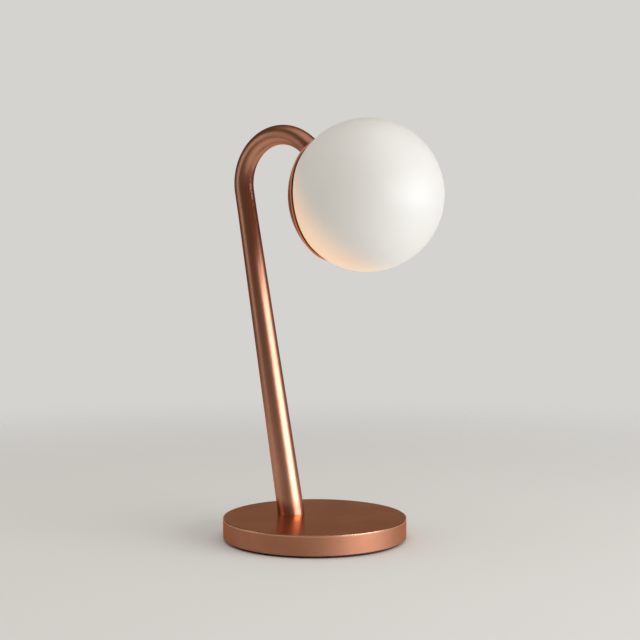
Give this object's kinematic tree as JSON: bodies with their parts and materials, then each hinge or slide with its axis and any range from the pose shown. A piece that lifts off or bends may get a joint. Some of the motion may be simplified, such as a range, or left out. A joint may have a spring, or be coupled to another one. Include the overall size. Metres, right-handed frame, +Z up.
{
  "type": "table lamp",
  "caption": "Table lamp: a round weighted foot, a tapered stem bent over in one arc, and an opal glass globe that screws on in front of a thin dish.",
  "frame": {"origin": "centre of the round foot, on the table", "axes": "+Z up, +X towards the globe; the stem and the globe's axis lie in the plane Y = 0"},
  "size_m": [0.1917, 0.15, 0.3412],
  "materials": {
    "copper": "satin copper plating on steel",
    "pad": "dark cellular rubber",
    "zinc": "bright zinc",
    "iron": "raw casting",
    "inlet_rubber": "moulded",
    "strip_plastic": "moulded",
    "brass": "turned",
    "wire_brown": "extruded",
    "wire_blue": "extruded",
    "wire_green": "extruded, yellow stripe",
    "bush_plastic": "moulded",
    "white_paint": "satin reflector white",
    "aluminium": "turned",
    "silicone": "translucent white",
    "ceramic": "unglazed steatite",
    "contact": "stamped bronze strip",
    "bulb_plastic": "moulded",
    "bulb_frost": "frosted cover",
    "board": "white substrate",
    "phosphor": "phosphor chip",
    "opal_glass": "satin etched opal glass"
  },
  "bodies": {
    "stand": {"foot_pad": "pad", "base_shell": "copper", "bottom_plate": "zinc", "bottom_plate_screws": "zinc", "base_weight": "iron", "cord_grommet": "inlet_rubber", "terminal_block": "strip_plastic", "terminal_clamps": "brass", "terminal_screws": "zinc", "terminal_fixing_screws": "zinc", "earth_lug": "zinc", "earth_screw": "zinc", "earth_wire": "wire_green", "stem": "copper", "foot_insert": "zinc", "foot_nipple": "brass", "foot_washer": "zinc", "foot_lock_washer": "zinc", "foot_nut": "zinc", "live_wire": "wire_brown", "neutral_wire": "wire_blue", "head_dish": "copper", "wire_bush": "bush_plastic", "carrier_pillars": "zinc", "carrier_plate": "white_paint", "carrier_screws": "zinc", "holder_bracket": "zinc", "bracket_screws": "zinc", "bracket_nuts": "zinc", "lampholder": "ceramic", "lampholder_contacts": "contact"},
    "seal": {"globe_seal": "silicone"},
    "globe": {"globe": "opal_glass", "globe_ring": "aluminium", "globe_bond": "silicone"},
    "bulb": {"bulb_base": "bulb_plastic", "bulb_pins": "zinc", "bulb_cover": "bulb_frost", "bulb_board": "board", "bulb_leds": "phosphor"}
  },
  "joints": [
    {"name": "globe_advance", "type": "slide", "parent": "stand", "child": "seal", "axis": [0.9925, 0, 0.1219], "range_m": [0, 0.005]},
    {"name": "globe_turn", "type": "hinge", "parent": "seal", "child": "globe", "pos_m": [0.05112, 0, 0.28067], "axis": [0.9925, 0, 0.1219], "range_deg": [0, 720]},
    {"name": "bulb_pull", "type": "slide", "parent": "stand", "child": "bulb", "axis": [0.9925, 0, 0.1219], "range_m": [0, 0.012]}
  ],
  "couplings": [
    {"joint": "globe_advance", "follows": "globe_turn", "m_per_rad": 0.00039789}
  ]
}
